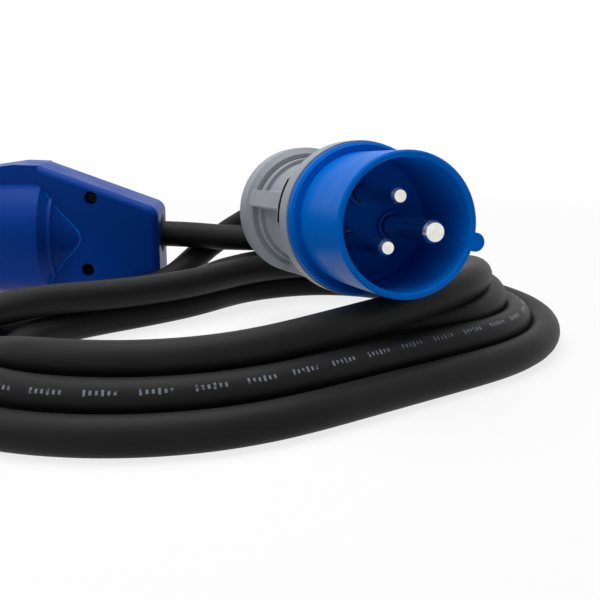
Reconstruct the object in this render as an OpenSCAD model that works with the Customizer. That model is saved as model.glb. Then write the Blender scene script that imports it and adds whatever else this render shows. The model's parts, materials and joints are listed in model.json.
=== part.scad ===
// Extension cable laid in an oval coil, with a three-pin industrial plug and coupler.
// Millimetres, Z up, floor at Z = 0. The coil's front run lies over the origin.

/* [Cable] */
// Outside diameter of the cable
cable_d = 11; // [9:0.5:11.5]
// Diameter of one insulated core
core_d = 3.2; // [2.4:0.1:3.6]

/* [Coil] */
// Outside radius of the coil's round ends
coil_end_r = 86; // [78:1:92]
// Straight run between the centres of the round ends
coil_run = 73; // [55:1:90]
// Width of the strands that lie on the floor
coil_band = 42; // [36:1:46]
// Height of the second layer's top
coil_second_top = 20.5; // [18:0.2:21]
// Height of the crest on the front run
coil_crest_top = 28.6; // [25:0.2:28.8]

/* [Plug] */
// Outside diameter of the shroud
shroud_d = 43; // [41:0.5:46]
// Wall of the shroud
shroud_wall = 2; // [1.5:0.1:2.4]
// Depth of the shroud, rim to flange
shroud_depth = 36; // [33:0.5:40]
// Width of the key along the shroud
key_w = 5.6; // [4:0.2:6.4]
// Height of the key above the shroud
key_h = 3.2; // [2.9:0.1:3.6]
// Diameter of the flange behind the shroud
flange_d = 49.4; // [48:0.2:54]
// Thickness of the flange
flange_t = 4; // [3:0.2:5]
// Diameter of the circle that the pins stand on
pin_circle_d = 17.5; // [16.5:0.1:18.5]
// Diameter of the live and neutral pins
pin_d = 5; // [4.6:0.1:5.4]
// Diameter of the earth pin
earth_pin_d = 7; // [6.6:0.1:7.4]
// Diameter of the grey housing's front ring
housing_d = 50.4; // [48.4:0.2:56]
// Length of the grey housing's front ring
housing_ring_l = 8; // [7:0.5:10]
// Diameter of the housing's waist
waist_d = 37; // [35:0.5:40]
// Length of the waist
waist_l = 41; // [36:0.5:44]
// Width of the bars over the waist
bar_w = 6; // [5:0.5:8]
// Diameter over the bars
bar_d = 47; // [44:0.5:49]
// Diameter of the gland nut
nut_d = 48; // [44:0.5:49]

/* [Coupler] */
// Length of the flat tail
tail_l = 50; // [47:0.5:54]
// Thickness of the flat tail
tail_t = 28; // [27:0.5:31]
// Diameter of the socket collar
collar_d = 52; // [51:0.2:52.4]
// Length of the socket collar
collar_l = 58; // [56:0.5:62]
// Depth of the plug's way into the socket
socket_l = 42; // [40:0.5:44]
// Thickness of the lid
lid_t = 5; // [4.4:0.2:6]
// Diameter of the hinge pin
hinge_pin_d = 3; // [2.6:0.1:3.6]

/* [Hidden] */
$fn = 64;
cut = 1;
cable_r = cable_d / 2;
core_r = core_d / 2;
// Clearance of a cable or core in a loose hole
cable_clear = 0.4;
// Clearance between moving and standing pieces
move_gap = 0.4;
// Running clearance of the hinge
hinge_clear = 0.06;
// Running clearance of a pin in its contact
contact_clear = 0.05;

// Where the pieces stand
coil_pos = [-32.7, 53.7, 0];
coil_turn = 38.9;
plug_pos = [19, -3, 52];
plug_yaw = 16.6;
plug_rise = 5;
plug_roll = -15.3;
coupler_pos = [-72, 147, 26.4];

// Coil
coil_second_out = 6;
coil_second_in = 37;
coil_crest_out = 12;
coil_crest_w = 12;
coil_crest_back = 20;
coil_crest_lap = 1;

// Plug, as distances behind the rim
shroud_r = shroud_d / 2;
shroud_in_r = shroud_r - shroud_wall;
rim_round = 0.6;
key_l = shroud_depth - 2;
plug_floor = shroud_depth - 1;
flange_back = shroud_depth + flange_t;
flange_round = 1;
spigot_wall = 2;
housing_wall = 3.2;
spigot_r = housing_d / 2 - housing_wall;
spigot_in_r = spigot_r - spigot_wall;
spigot_l = 5;
spigot_gap = 0.3;
spigot_end = flange_back + spigot_l + spigot_gap;
boss_wall = 1;
boss_h = 2;
pin_back = 0.4;
pin_round = 0.7;
pin_shoulder = 0.4;
boss_front = plug_floor - boss_h;
barrel_wall = 1.4;
pin_step = flange_back + 4;
barrel_end = flange_back + 24;
carrier_end = flange_back + spigot_l;
wire_hole_r = 1.2;
wire_hole_l = 9;
screw_r = 1.25;
screw_head_r = 2;
screw_head_h = 1.8;
slot_w = 0.7;
slot_h = 0.7;
screw_head_out = 0.2;
plug_screw_at = flange_back + 19;
ring_end = flange_back + housing_ring_l;
cone_l = 3;
waist_start = ring_end + cone_l;
waist_end = waist_start + waist_l;
waist_r = waist_d / 2;
waist_wall = 1.6;
waist_room_r = waist_r - waist_wall;
ring_step = 3;
head_gap = 2.2;
head_t = 1.8;
head_low = 0.2;
head_half_w = housing_d / 2 * sin(19);
bar_lap = 0.8;
collar_ring_r = waist_r + 1.6;
collar_ring_end = waist_end + 5;
neck_r = waist_r - 1.5;
neck_in_r = neck_r - 3;
neck_l = 15;
neck_end = collar_ring_end + neck_l;
seal_l = 10;
clamp_ring_l = 6;
nut_start = collar_ring_end + 0.6;
nut_rim_l = 11;
nut_chamfer = 2.2;
nut_r = nut_d / 2;
nut_grip_r = nut_r - 2.4;
nut_grip_l = 18;
nut_grip_end = nut_start + nut_grip_l;
nut_l = 26;
nut_end = nut_start + nut_l;
nut_end_r = 11;
nut_lugs = 16;
nut_lug_w = 4;
nut_lug_root = 1.3;
nut_lug_low = 1.6;
nut_lug_back = 1.2;
nut_slope_l = 1.5;
clamp_ring_end = collar_ring_end + 1 + seal_l + clamp_ring_l;
plug_cable_end = waist_end - 2;
core_straight = 4;
core_bend_l = 10;
core_lay_l = 3;
core_fan = 2.2;
core_gap = 0.4;
core_spread = core_r / cos(30) + 0.15;
seal_clear = 0.05;

// Coupler, as distances from the cable's exit along the body
tail_half = tail_t / 2;
exit_up = 13.8;
exit_down = 16.6;
shoulder_up = 30.5;
shoulder_down = 23;
tail_chamfer = 2;
exit_round = 5;
collar_r = collar_d / 2;
collar_edge = 1;
bell_start = tail_l - 17;
// Bell from the tail to the collar, as steps along and out
bell_steps = [[0, 0], [3, 1], [7, 2.9], [11, 6.2], [14, 9.8]];
bell_end = bell_start + 15.6;
collar_end = tail_l + collar_l;
collar_spigot_r = 22;
collar_spigot_l = 6;
collar_back_r = 19;
socket_start = collar_end - socket_l;
socket_r = shroud_r + 0.9;
insert_r = shroud_in_r - 0.4;
insert_base_t = 6;
insert_back = 2;
insert_edge = 0.8;
sleeve_wall = 1.3;
sleeve_start = socket_start - 14;
sleeve_end = collar_end - 6;
sleeve_bore_l = 32;
entry_clear = 0.5;
coupler_screw_at = sleeve_start + 4;
keyway_clear = 0.5;
tail_screw_r = 1.5;
tail_screw_head_r = 2.6;
tail_screw_head_h = 2.4;
tail_screw_seat = 4.5;
tail_screw_hole_r = 2.75;
tail_screw_cross = 3.6;
tail_screw_cross_h = 1.4;
tail_screw_top = -tail_screw_seat - tail_screw_head_h;
tail_boss_r = 4.6;
tail_screws = [[28, 17.1], [30.5, -13.7]];
chamber_start = 15;
chamber_half = 11;
chamber_lap = 1;
tail_screw_end = chamber_half - chamber_lap;
chamber_low = 13;
chamber_up = 11;
clamp_at = 17;
clamp_w = 8;
clamp_half = 9.4;
clamp_gap = 1.5;
clamp_t = 7;
clamp_screw_x = 7.3;
clamp_screw_r = 1.2;
clamp_head_r = 1.9;
clamp_head_h = 1.4;
clamp_screw_l = 14;
grommet_r = 8;
grommet_l = 9;
grommet_out = 0.4;
grommet_edge = 1;
coupler_cable_end = 30;
hinge_up = 29.6;
hinge_at = collar_end + 3.5;
hinge_r = 3.4;
lug_in = 7;
lug_out = 13;
hinge_pin_r = hinge_pin_d / 2;
ear_in = 2.6;
ear_out = lug_in - move_gap;
lid_gap = 0.3;
lid_r = collar_r - 0.4;
lid_start = collar_end + 2 * lid_gap;
lid_end = lid_start + lid_t;
gasket_in_r = 20.5;
gasket_out_r = 24.5;
gasket_t = 1.8;
gasket_end = collar_end + lid_gap + gasket_t;
lid_edge = 1.5;
lid_tab_w = 16;
lid_tab_l = 6;
lid_tab_t = 4;
lid_tab_in = 1;
lid_dish_r = 19;
lid_dish_h = 1.2;
spring_wire_r = 0.5;
spring_turns = 4;
spring_clear = 0.3;
spring_pitch = 1.8 * spring_wire_r;
spring_leg_l = 6;
block_half = 13;
block_root = 20;
block_dip = 27.4;
block_dip_l = 34;
block_dip_at = tail_l + block_dip_l;
block_top = shoulder_up + 0.4;
block_top_l = 10;
block_top_at = tail_l + block_top_l;
lug_l = 8;
ear_l = 4;
ear_trim = 0.1;
ear_back = 0.4;

// Cable leads, as points on the cable's middle line
plug_lead_pts = [[-20.9, 130.6, 39.8], [-27, 145, 36.2], [-37, 156.5, 30], [-50, 158.5, 21],
  [-59, 150, 14], [-63, 138, 9.5], [-67, 128, 6.8], [-76, 120, 5.8], [-90, 109, 5.7]];
coupler_lead_pts = [[-60, 147, 26], [-48, 146, 25], [-36, 144.2, 24], [-22, 142.5, 23.4],
  [-8, 140, 23]];
lead_steps = 4;
core_steps = 4;
lead_sides = 12;
core_sides = 8;

blue = [0.0, 0.26, 0.6];
grey = [0.56, 0.57, 0.61];
steel = [0.75, 0.75, 0.76];
brass = [0.85, 0.72, 0.45];
rubber = [0.06, 0.06, 0.06];
navy = [0.02, 0.08, 0.25];
core_brown = [0.35, 0.18, 0.08];
core_blue = [0.1, 0.3, 0.75];
core_green = [0.3, 0.6, 0.15];

// Angles of the contacts about the axis, earth first
earth_a = 0;
live_a = 120;
neutral_a = 240;
pin_circle_r = pin_circle_d / 2;

// Placing

module at_plug()
  translate(plug_pos)
    rotate([0, 0, plug_yaw])
      rotate([90 - plug_rise, 0, 0])
        rotate([0, 0, plug_roll])
          children();

module at_coupler()
  translate(coupler_pos)
    rotate([0, -90, 0])
      children();

// Turns a drawing of the tail, drawn along and up, into the coupler's own axes
module tail_plate(from, to)
  rotate([0, -90, -90])
    translate([0, 0, from])
      linear_extrude(to - from)
        children();

module on_circle(angle)
  rotate([0, 0, angle])
    translate([pin_circle_r, 0, 0])
      children();

// Swept round solid through a list of points

function unit(v) = v / norm(v);
function slope(p, i) = unit(p[min(i + 1, len(p) - 1)] - p[max(i - 1, 0)]);
function side_of(t) = unit(cross(t, [0, 0, 1]));
function between(a, b, c, d, u) =
  0.5 * (2 * b + (c - a) * u + (2 * a - 5 * b + 4 * c - d) * u * u
    + (3 * b - a - 3 * c + d) * u * u * u);
function curve(p, n) = [
  for (i = [0:len(p) - 2])
    for (k = [0:n - 1])
      between(p[max(i - 1, 0)], p[i], p[i + 1], p[min(i + 2, len(p) - 1)], k / n),
  p[len(p) - 1]];

module sweep(p, r, sides) {
  n = len(p);
  pts = [
    for (i = [0:n - 1])
      let (t = slope(p, i), s = side_of(t), u = cross(s, t))
        for (j = [0:sides - 1])
          p[i] + r * (cos(360 * j / sides) * s + sin(360 * j / sides) * u)];
  walls = [
    for (i = [0:n - 2])
      for (j = [0:sides - 1])
        let (k = (j + 1) % sides)
          each [[i * sides + j, i * sides + k, (i + 1) * sides + k],
            [i * sides + j, (i + 1) * sides + k, (i + 1) * sides + j]]];
  ends = [[for (j = [0:sides - 1]) sides - 1 - j],
    [for (j = [0:sides - 1]) (n - 1) * sides + j]];
  polyhedron(pts, concat(walls, ends));
}

// Points of the plug's and the coupler's own axes in the common frame

function turn_x(v, a) = [v[0], v[1] * cos(a) - v[2] * sin(a), v[1] * sin(a) + v[2] * cos(a)];
function turn_z(v, a) = [v[0] * cos(a) - v[1] * sin(a), v[0] * sin(a) + v[1] * cos(a), v[2]];
function plug_point(v) =
  plug_pos + turn_z(turn_x(turn_z(v, plug_roll), 90 - plug_rise), plug_yaw);
function coupler_point(v) = coupler_pos + [-v[2], v[1], v[0]];

// Plug

module contact_pin(d, angle) {
  r = d / 2;
  on_circle(angle)
    difference() {
      rotate_extrude()
        polygon([[0, -pin_back], [r - pin_round, -pin_back], [r, -pin_back - pin_round],
          [r, -boss_front], [r + pin_shoulder, -boss_front], [r + pin_shoulder, -pin_step],
          [r + barrel_wall, -pin_step], [r + barrel_wall, -barrel_end], [0, -barrel_end]]);
      translate([0, 0, -barrel_end - cut])
        cylinder(r = wire_hole_r, h = wire_hole_l + cut);
      translate([0, 0, -plug_screw_at])
        rotate([0, 90, 0])
          cylinder(r = screw_r, h = r + barrel_wall + cut);
    }
}

module radial_screw(seat_r, at, angle) {
  on_circle(angle)
    translate([0, 0, at])
      rotate([0, 90, 0])
        difference() {
          union() {
            translate([0, 0, wire_hole_r])
              cylinder(r = screw_r, h = seat_r - wire_hole_r + screw_head_h / 2);
            translate([0, 0, seat_r + screw_head_out])
              cylinder(r = screw_head_r, h = screw_head_h);
          }
          translate([-screw_head_r - cut, -slot_w / 2,
            seat_r + screw_head_out + screw_head_h - slot_h])
            cube([2 * (screw_head_r + cut), slot_w, slot_h + cut]);
        }
}

module plug_shroud() {
  color(blue)
    at_plug()
      difference() {
        union() {
          rotate_extrude($fn = 128)
            polygon([[0, -plug_floor], [shroud_in_r, -plug_floor], [shroud_in_r, -rim_round],
              [shroud_in_r + rim_round, 0], [shroud_r - rim_round, 0],
              [shroud_r, -rim_round], [shroud_r, -shroud_depth],
              [flange_d / 2 - flange_round, -shroud_depth],
              [flange_d / 2, -shroud_depth - flange_round], [flange_d / 2, -flange_back],
              [spigot_r, -flange_back], [spigot_r, -flange_back - spigot_l],
              [spigot_in_r, -flange_back - spigot_l], [spigot_in_r, -flange_back],
              [0, -flange_back]]);
          shroud_key();
          pin_boss(pin_d, live_a);
          pin_boss(pin_d, neutral_a);
          pin_boss(earth_pin_d, earth_a);
        }
        pin_hole(pin_d, live_a);
        pin_hole(pin_d, neutral_a);
        pin_hole(earth_pin_d, earth_a);
      }
}

module shroud_key() {
  key_mid = shroud_r + key_h - key_w / 2;
  translate([key_mid, 0, -key_l])
    cylinder(r = key_w / 2, h = key_l);
  translate([shroud_r - shroud_wall / 2, -key_w / 2, -key_l])
    cube([key_mid - shroud_r + shroud_wall / 2, key_w, key_l]);
}

module pin_boss(d, angle)
  on_circle(angle)
    translate([0, 0, -plug_floor - flange_t / 2])
      cylinder(r = d / 2 + pin_shoulder + boss_wall, h = boss_h + flange_t / 2);

module pin_hole(d, angle)
  on_circle(angle)
    translate([0, 0, -flange_back - cut])
      cylinder(r = d / 2 + pin_shoulder, h = flange_back - boss_front + 2 * cut);

module plug_live_pin()
  color(brass) at_plug() contact_pin(pin_d, live_a);

module plug_neutral_pin()
  color(brass) at_plug() contact_pin(pin_d, neutral_a);

module plug_earth_pin()
  color(brass) at_plug() contact_pin(earth_pin_d, earth_a);

module plug_carrier() {
  color(navy)
    at_plug()
      difference() {
        translate([0, 0, -carrier_end])
          cylinder(r = spigot_in_r, h = carrier_end - flange_back);
        carrier_hole(pin_d, live_a);
        carrier_hole(pin_d, neutral_a);
        carrier_hole(earth_pin_d, earth_a);
      }
}

module carrier_hole(d, angle)
  on_circle(angle) {
    translate([0, 0, -carrier_end])
      cylinder(r = d / 2 + pin_shoulder, h = carrier_end - flange_back + cut);
    translate([0, 0, -carrier_end - cut])
      cylinder(r = d / 2 + barrel_wall, h = carrier_end - pin_step + cut);
  }

module plug_terminal_screws() {
  color(steel)
    at_plug() {
      radial_screw(pin_d / 2 + barrel_wall, -plug_screw_at, live_a);
      radial_screw(pin_d / 2 + barrel_wall, -plug_screw_at, neutral_a);
      radial_screw(earth_pin_d / 2 + barrel_wall, -plug_screw_at, earth_a);
    }
}

module plug_housing() {
  ring_r = housing_d / 2;
  color(grey)
    at_plug()
      difference() {
        union() {
          rotate_extrude($fn = 128)
            polygon([[0, -flange_back], [ring_r, -flange_back], [ring_r, -ring_end],
              [ring_r - ring_step, -ring_end], [waist_r, -waist_start], [waist_r, -waist_end], [collar_ring_r, -waist_end],
              [collar_ring_r, -collar_ring_end], [neck_r, -collar_ring_end],
              [neck_r, -neck_end], [0, -neck_end]]);
          for (a = [0, 180]) {
            waist_bar(a, ring_end + head_gap);
            waist_bar(a + 90, ring_end - bar_lap);
          }
          latch_heads(ring_r - head_low);
        }
        rotate_extrude($fn = 128)
          polygon([[0, cut - flange_back], [spigot_r, cut - flange_back], [spigot_r, -spigot_end],
            [waist_room_r, -waist_start], [waist_room_r, waist_wall - waist_end],
            [neck_in_r, -waist_end], [neck_in_r, -neck_end - cut], [0, -neck_end - cut]]);
      }
}

// Bar over the waist, from the rear collar to a distance behind the rim
module waist_bar(angle, front)
  rotate([0, 0, angle])
    translate([waist_r - waist_wall / 2, -bar_w / 2, -collar_ring_end])
      cube([bar_d / 2 - waist_r + waist_wall / 2, bar_w, collar_ring_end - front]);

// Cross heads of the two side bars, which stand a slit's width behind the ring
module latch_heads(r)
  translate([0, 0, -ring_end - head_gap - head_t])
    intersection() {
      cylinder(r = r, h = head_t, $fn = 128);
      translate([-r, -head_half_w, 0])
        cube([2 * r, 2 * head_half_w, head_t]);
    }

module plug_gland_nut() {
  hole_r = cable_r + cable_clear;
  color(grey)
    at_plug() {
      rotate_extrude($fn = 128)
        polygon([[neck_r, -nut_start], [nut_r - nut_chamfer, -nut_start],
          [nut_r, -nut_start - nut_chamfer], [nut_r, -nut_start - nut_rim_l],
          [nut_grip_r, -nut_start - nut_rim_l - nut_slope_l], [nut_grip_r, -nut_grip_end],
          [nut_end_r, -nut_end], [hole_r, -nut_end], [hole_r, -clamp_ring_end],
          [neck_r, -clamp_ring_end]]);
      for (i = [0:nut_lugs - 1])
        rotate([0, 0, 360 * (i + 0.5) / nut_lugs])
          translate([nut_grip_r - nut_lug_root, -nut_lug_w / 2, nut_lug_back - nut_grip_end])
            cube([nut_r - nut_grip_r + nut_lug_root - nut_lug_low, nut_lug_w,
              nut_grip_end - nut_lug_back - nut_start - nut_rim_l / 2]);
    }
}

module plug_gland_seal() {
  color(rubber)
    at_plug()
      gland_ring(cable_r + seal_clear, clamp_ring_end - clamp_ring_l, seal_l);
}

module plug_clamp_ring() {
  color(grey)
    at_plug()
      gland_ring(cable_r + cable_clear, clamp_ring_end, clamp_ring_l);
}

module gland_ring(hole_r, end, l)
  translate([0, 0, -end])
    difference() {
      cylinder(r = neck_in_r, h = l);
      translate([0, 0, -cut])
        cylinder(r = hole_r, h = l + 2 * cut);
    }

// Middle line of a core, from its terminal to the cable's cut end in the plug
function plug_core_pts(angle, spread) = [
  for (v = [
    [pin_circle_r * cos(angle), pin_circle_r * sin(angle), -barrel_end - core_gap],
    [pin_circle_r * cos(angle), pin_circle_r * sin(angle), -barrel_end - core_straight],
    [spread * cos(angle) * core_fan, spread * sin(angle) * core_fan,
      core_bend_l - plug_cable_end],
    [spread * cos(angle), spread * sin(angle), core_lay_l - plug_cable_end],
    [spread * cos(angle), spread * sin(angle), core_gap - plug_cable_end]])
    plug_point(v)];

module plug_live_core()
  color(core_brown)
    sweep(curve(plug_core_pts(live_a, core_spread), core_steps), core_r, core_sides);

module plug_neutral_core()
  color(core_blue)
    sweep(curve(plug_core_pts(neutral_a, core_spread), core_steps), core_r, core_sides);

module plug_earth_core()
  color(core_green)
    sweep(curve(plug_core_pts(earth_a, core_spread), core_steps), core_r, core_sides);

// Coupler

// Outline of the flat tail, along and up, drawn in by an edge
module tail_outline(edge) {
  round_r = exit_round - edge;
  hull() {
    polygon([[edge, -exit_down + edge], [tail_l, -shoulder_down + edge],
      [tail_l, shoulder_up - edge], [edge + round_r, exit_up - edge]]);
    translate([exit_round, exit_up - exit_round])
      circle(r = round_r, $fn = 32);
  }
}

// One half of the tail's outside, on the side that the sign names
module tail_half_body(sign) {
  flat = tail_half - tail_chamfer;
  hull() {
    tail_plate(min(0, sign * flat), max(0, sign * flat)) tail_outline(0);
    tail_plate(min(0, sign * tail_half), max(0, sign * tail_half)) tail_outline(tail_chamfer);
  }
  intersection() {
    rotate_extrude($fn = 96)
      polygon(concat([[0, bell_start]],
        [for (b = bell_steps) [tail_half + b[1], bell_start + b[0]]],
        [[collar_r, bell_end], [collar_r, tail_l], [0, tail_l]]));
    translate([-2 * collar_r, sign > 0 ? 0 : -2 * collar_r, 0])
      cube([4 * collar_r, 2 * collar_r, tail_l]);
  }
}

// The room inside the tail, without its screw bosses
module tail_room() {
  difference() {
    tail_plate(-chamber_half, chamber_half)
      polygon([[chamber_start, -chamber_low], [chamber_start, chamber_up],
        [tail_l + cut, collar_back_r], [tail_l + cut, -collar_back_r]]);
    for (p = tail_screws)
      tail_plate(-chamber_half - cut, chamber_half + cut)
        translate(p)
          circle(r = tail_boss_r);
  }
  translate([0, 0, tail_l - collar_spigot_l])
    cylinder(r = collar_spigot_r, h = collar_spigot_l + cut);
  translate([0, 0, grommet_l - grommet_out - cut])
    cylinder(r = cable_r + cable_clear, h = chamber_start);
  translate([0, 0, -cut])
    cylinder(r = grommet_r, h = grommet_l - grommet_out + cut);
}

module coupler_near_shell() {
  color(blue)
    at_coupler()
      difference() {
        tail_half_body(-1);
        tail_room();
        for (p = tail_screws) {
          tail_plate(-tail_half - cut, -tail_screw_seat) translate(p) circle(r = tail_screw_hole_r);
          tail_plate(-tail_half, cut) translate(p) circle(r = tail_screw_r);
        }
      }
}

module coupler_far_shell() {
  color(blue)
    at_coupler()
      difference() {
        union() {
          difference() {
            tail_half_body(1);
            tail_room();
          }
          translate([-clamp_half, clamp_gap, clamp_at])
            cube([2 * clamp_half, chamber_half + chamber_lap - clamp_gap, clamp_w]);
        }
        for (p = tail_screws)
          tail_plate(-cut, tail_screw_end) translate(p) circle(r = tail_screw_r);
        translate([0, 0, clamp_at - cut])
          cylinder(r = cable_r + seal_clear, h = clamp_w + 2 * cut);
        for (x = [-clamp_screw_x, clamp_screw_x])
          translate([x, 0, clamp_at + clamp_w / 2])
            rotate([-90, 0, 0])
              cylinder(r = clamp_screw_r, h = tail_screw_end);
      }
}

module coupler_tail_screws() {
  color(steel)
    at_coupler()
      for (p = tail_screws)
        difference() {
          union() {
            tail_plate(-tail_screw_seat, tail_screw_end) translate(p) circle(r = tail_screw_r);
            tail_plate(tail_screw_top, -tail_screw_seat)
              translate(p)
                circle(r = tail_screw_head_r);
          }
          tail_plate(tail_screw_top - cut, tail_screw_top + tail_screw_cross_h)
            translate(p)
              square([tail_screw_cross, slot_w], center = true);
          tail_plate(tail_screw_top - cut, tail_screw_top + tail_screw_cross_h)
            translate(p)
              square([slot_w, tail_screw_cross], center = true);
        }
}

module coupler_collar() {
  color(blue)
    at_coupler()
      difference() {
        union() {
          rotate_extrude($fn = 128)
            polygon([[collar_back_r, tail_l - collar_spigot_l],
              [collar_spigot_r, tail_l - collar_spigot_l], [collar_spigot_r, tail_l],
              [collar_r, tail_l], [collar_r, collar_end - collar_edge],
              [collar_r - collar_edge, collar_end],
              [socket_r, collar_end], [socket_r, socket_start - insert_base_t],
              [collar_back_r, socket_start - insert_base_t]]);
          hinge_block();
          hinge_lug(lug_in, lug_out);
          hinge_lug(-lug_out, -lug_in);
        }
        translate([0, -key_w / 2 - keyway_clear, socket_start])
          cube([shroud_r + key_h + keyway_clear, key_w + 2 * keyway_clear, socket_l + cut]);
        hinge_hole(hinge_pin_r, lug_out);
      }
}

module hinge_block()
  difference() {
    tail_plate(-block_half, block_half)
      polygon([[tail_l, block_root], [tail_l, shoulder_up], [block_top_at, block_top],
        [block_dip_at, block_dip], [collar_end - collar_edge, hinge_up],
        [collar_end - collar_edge, block_root]]);
    translate([0, 0, tail_l - cut])
      cylinder(r = collar_r - collar_edge, h = collar_l + 2 * cut);
  }

module hinge_lug(from, to) {
  tail_plate(from, to)
    translate([collar_end - lug_l, hinge_up - hinge_r])
      square([hinge_at - collar_end + lug_l, 2 * hinge_r]);
  tail_plate(from, to)
    translate([hinge_at, hinge_up])
      circle(r = hinge_r);
}

module hinge_hole(r, half)
  tail_plate(-half - cut, half + cut)
    translate([hinge_at, hinge_up])
      circle(r = r);

module coupler_insert() {
  color(navy)
    at_coupler()
      difference() {
        rotate_extrude($fn = 128)
          polygon([[0, socket_start - insert_base_t], [socket_r, socket_start - insert_base_t],
            [socket_r, socket_start], [insert_r, socket_start],
            [insert_r, collar_end - insert_back - insert_edge],
            [insert_r - insert_edge, collar_end - insert_back],
            [0, collar_end - insert_back]]);
        insert_hole(pin_d, live_a);
        insert_hole(pin_d, neutral_a);
        insert_hole(earth_pin_d, earth_a);
      }
}

// The socket's face is the mirror of the plug's
module insert_hole(d, angle)
  on_circle(-angle) {
    translate([0, 0, sleeve_start])
      cylinder(r = d / 2 + sleeve_wall, h = sleeve_end - sleeve_start);
    translate([0, 0, sleeve_start])
      cylinder(r = d / 2 + entry_clear, h = collar_end - sleeve_start);
  }

module contact_sleeve(d, angle) {
  on_circle(-angle)
    difference() {
      translate([0, 0, sleeve_start])
        cylinder(r = d / 2 + sleeve_wall, h = sleeve_end - sleeve_start);
      translate([0, 0, sleeve_end - sleeve_bore_l])
        cylinder(r = d / 2 + contact_clear, h = sleeve_bore_l + cut);
      translate([0, 0, sleeve_start - cut])
        cylinder(r = wire_hole_r, h = wire_hole_l + cut);
      translate([0, 0, coupler_screw_at])
        rotate([0, 90, 0])
          cylinder(r = screw_r, h = d / 2 + sleeve_wall + cut);
    }
}

module coupler_live_contact()
  color(brass) at_coupler() contact_sleeve(pin_d, live_a);

module coupler_neutral_contact()
  color(brass) at_coupler() contact_sleeve(pin_d, neutral_a);

module coupler_earth_contact()
  color(brass) at_coupler() contact_sleeve(earth_pin_d, earth_a);

module coupler_terminal_screws() {
  color(steel)
    at_coupler() {
      radial_screw(pin_d / 2 + sleeve_wall, coupler_screw_at, -live_a);
      radial_screw(pin_d / 2 + sleeve_wall, coupler_screw_at, -neutral_a);
      radial_screw(earth_pin_d / 2 + sleeve_wall, coupler_screw_at, -earth_a);
    }
}

module coupler_cord_clamp() {
  color(navy)
    at_coupler()
      difference() {
        translate([-clamp_half, -clamp_gap - clamp_t, clamp_at])
          cube([2 * clamp_half, clamp_t, clamp_w]);
        translate([0, 0, clamp_at - cut])
          cylinder(r = cable_r + seal_clear, h = clamp_w + 2 * cut);
        for (x = [-clamp_screw_x, clamp_screw_x])
          translate([x, -clamp_gap - clamp_t - cut, clamp_at + clamp_w / 2])
            rotate([-90, 0, 0])
              cylinder(r = clamp_screw_r, h = clamp_t + 2 * cut);
      }
}

module coupler_clamp_screws() {
  color(steel)
    at_coupler()
      for (x = [-clamp_screw_x, clamp_screw_x])
        translate([x, -clamp_gap - clamp_t, clamp_at + clamp_w / 2])
          rotate([-90, 0, 0])
            difference() {
              union() {
                cylinder(r = clamp_screw_r, h = clamp_screw_l);
                translate([0, 0, -clamp_head_h])
                  cylinder(r = clamp_head_r, h = clamp_head_h);
              }
              translate([-clamp_head_r - cut, -slot_w / 2, -clamp_head_h - cut])
                cube([2 * (clamp_head_r + cut), slot_w, slot_h + cut]);
            }
}

module coupler_grommet() {
  color(rubber)
    at_coupler()
      translate([0, 0, -grommet_out])
        difference() {
          rotate_extrude()
            polygon([[0, 0], [grommet_r - grommet_edge, 0], [grommet_r, grommet_edge], [grommet_r, grommet_l],
              [0, grommet_l]]);
          translate([0, 0, -cut])
            cylinder(r = cable_r + seal_clear, h = grommet_l + 2 * cut);
        }
}

// Middle line of a core, from its terminal to the cable's cut end in the coupler
function coupler_core_pts(angle, spread) = [
  for (v = [
    [pin_circle_r * cos(angle), pin_circle_r * sin(angle), sleeve_start - core_gap],
    [pin_circle_r * cos(angle), pin_circle_r * sin(angle), sleeve_start - core_straight],
    [spread * cos(angle) * core_fan, spread * sin(angle) * core_fan,
      coupler_cable_end + core_bend_l],
    [spread * cos(angle), spread * sin(angle), coupler_cable_end + core_lay_l],
    [spread * cos(angle), spread * sin(angle), coupler_cable_end + core_gap]])
    coupler_point(v)];

module coupler_live_core()
  color(core_brown)
    sweep(curve(coupler_core_pts(-live_a, core_spread), core_steps), core_r, core_sides);

module coupler_neutral_core()
  color(core_blue)
    sweep(curve(coupler_core_pts(-neutral_a, core_spread), core_steps), core_r, core_sides);

module coupler_earth_core()
  color(core_green)
    sweep(curve(coupler_core_pts(-earth_a, core_spread), core_steps), core_r, core_sides);

module coupler_hinge_pin() {
  color(steel)
    at_coupler()
      tail_plate(-lug_out, lug_out)
        translate([hinge_at, hinge_up])
          circle(r = hinge_pin_r);
}

module coupler_lid_spring() {
  coil_r = hinge_pin_r + spring_clear + spring_wire_r;
  color(steel)
    at_coupler()
      translate([hinge_up, 0, hinge_at])
        rotate([90, 0, 0]) {
          rotate_extrude($fn = 48)
            for (i = [0:spring_turns - 1])
              translate([coil_r, (i - (spring_turns - 1) / 2) * spring_pitch])
                circle(r = spring_wire_r, $fn = 24);
          translate([coil_r, -spring_leg_l, (spring_turns - 1) / 2 * spring_pitch])
            rotate([-90, 0, 0])
              cylinder(r = spring_wire_r, h = spring_leg_l, $fn = 24);
        }
}

module coupler_lid() {
  color(blue)
    at_coupler()
      difference() {
        union() {
          rotate_extrude($fn = 128)
            polygon([[0, lid_start], [lid_r, lid_start], [lid_r, lid_end - lid_edge],
              [lid_r - lid_edge, lid_end], [lid_dish_r, lid_end],
              [lid_dish_r - lid_dish_h, lid_end - lid_dish_h], [0, lid_end - lid_dish_h]]);
          lid_ear(ear_in, ear_out);
          lid_ear(-ear_out, -ear_in);
          translate([-lid_r + lid_tab_in, -lid_tab_w / 2, lid_end - lid_tab_in])
            cube([lid_tab_t, lid_tab_w, lid_tab_l + lid_tab_in]);
        }
        translate([0, 0, gasket_end - gasket_t - cut])
          gasket_ring(gasket_t + cut);
        hinge_hole(hinge_pin_r + hinge_clear, ear_out);
      }
}

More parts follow.
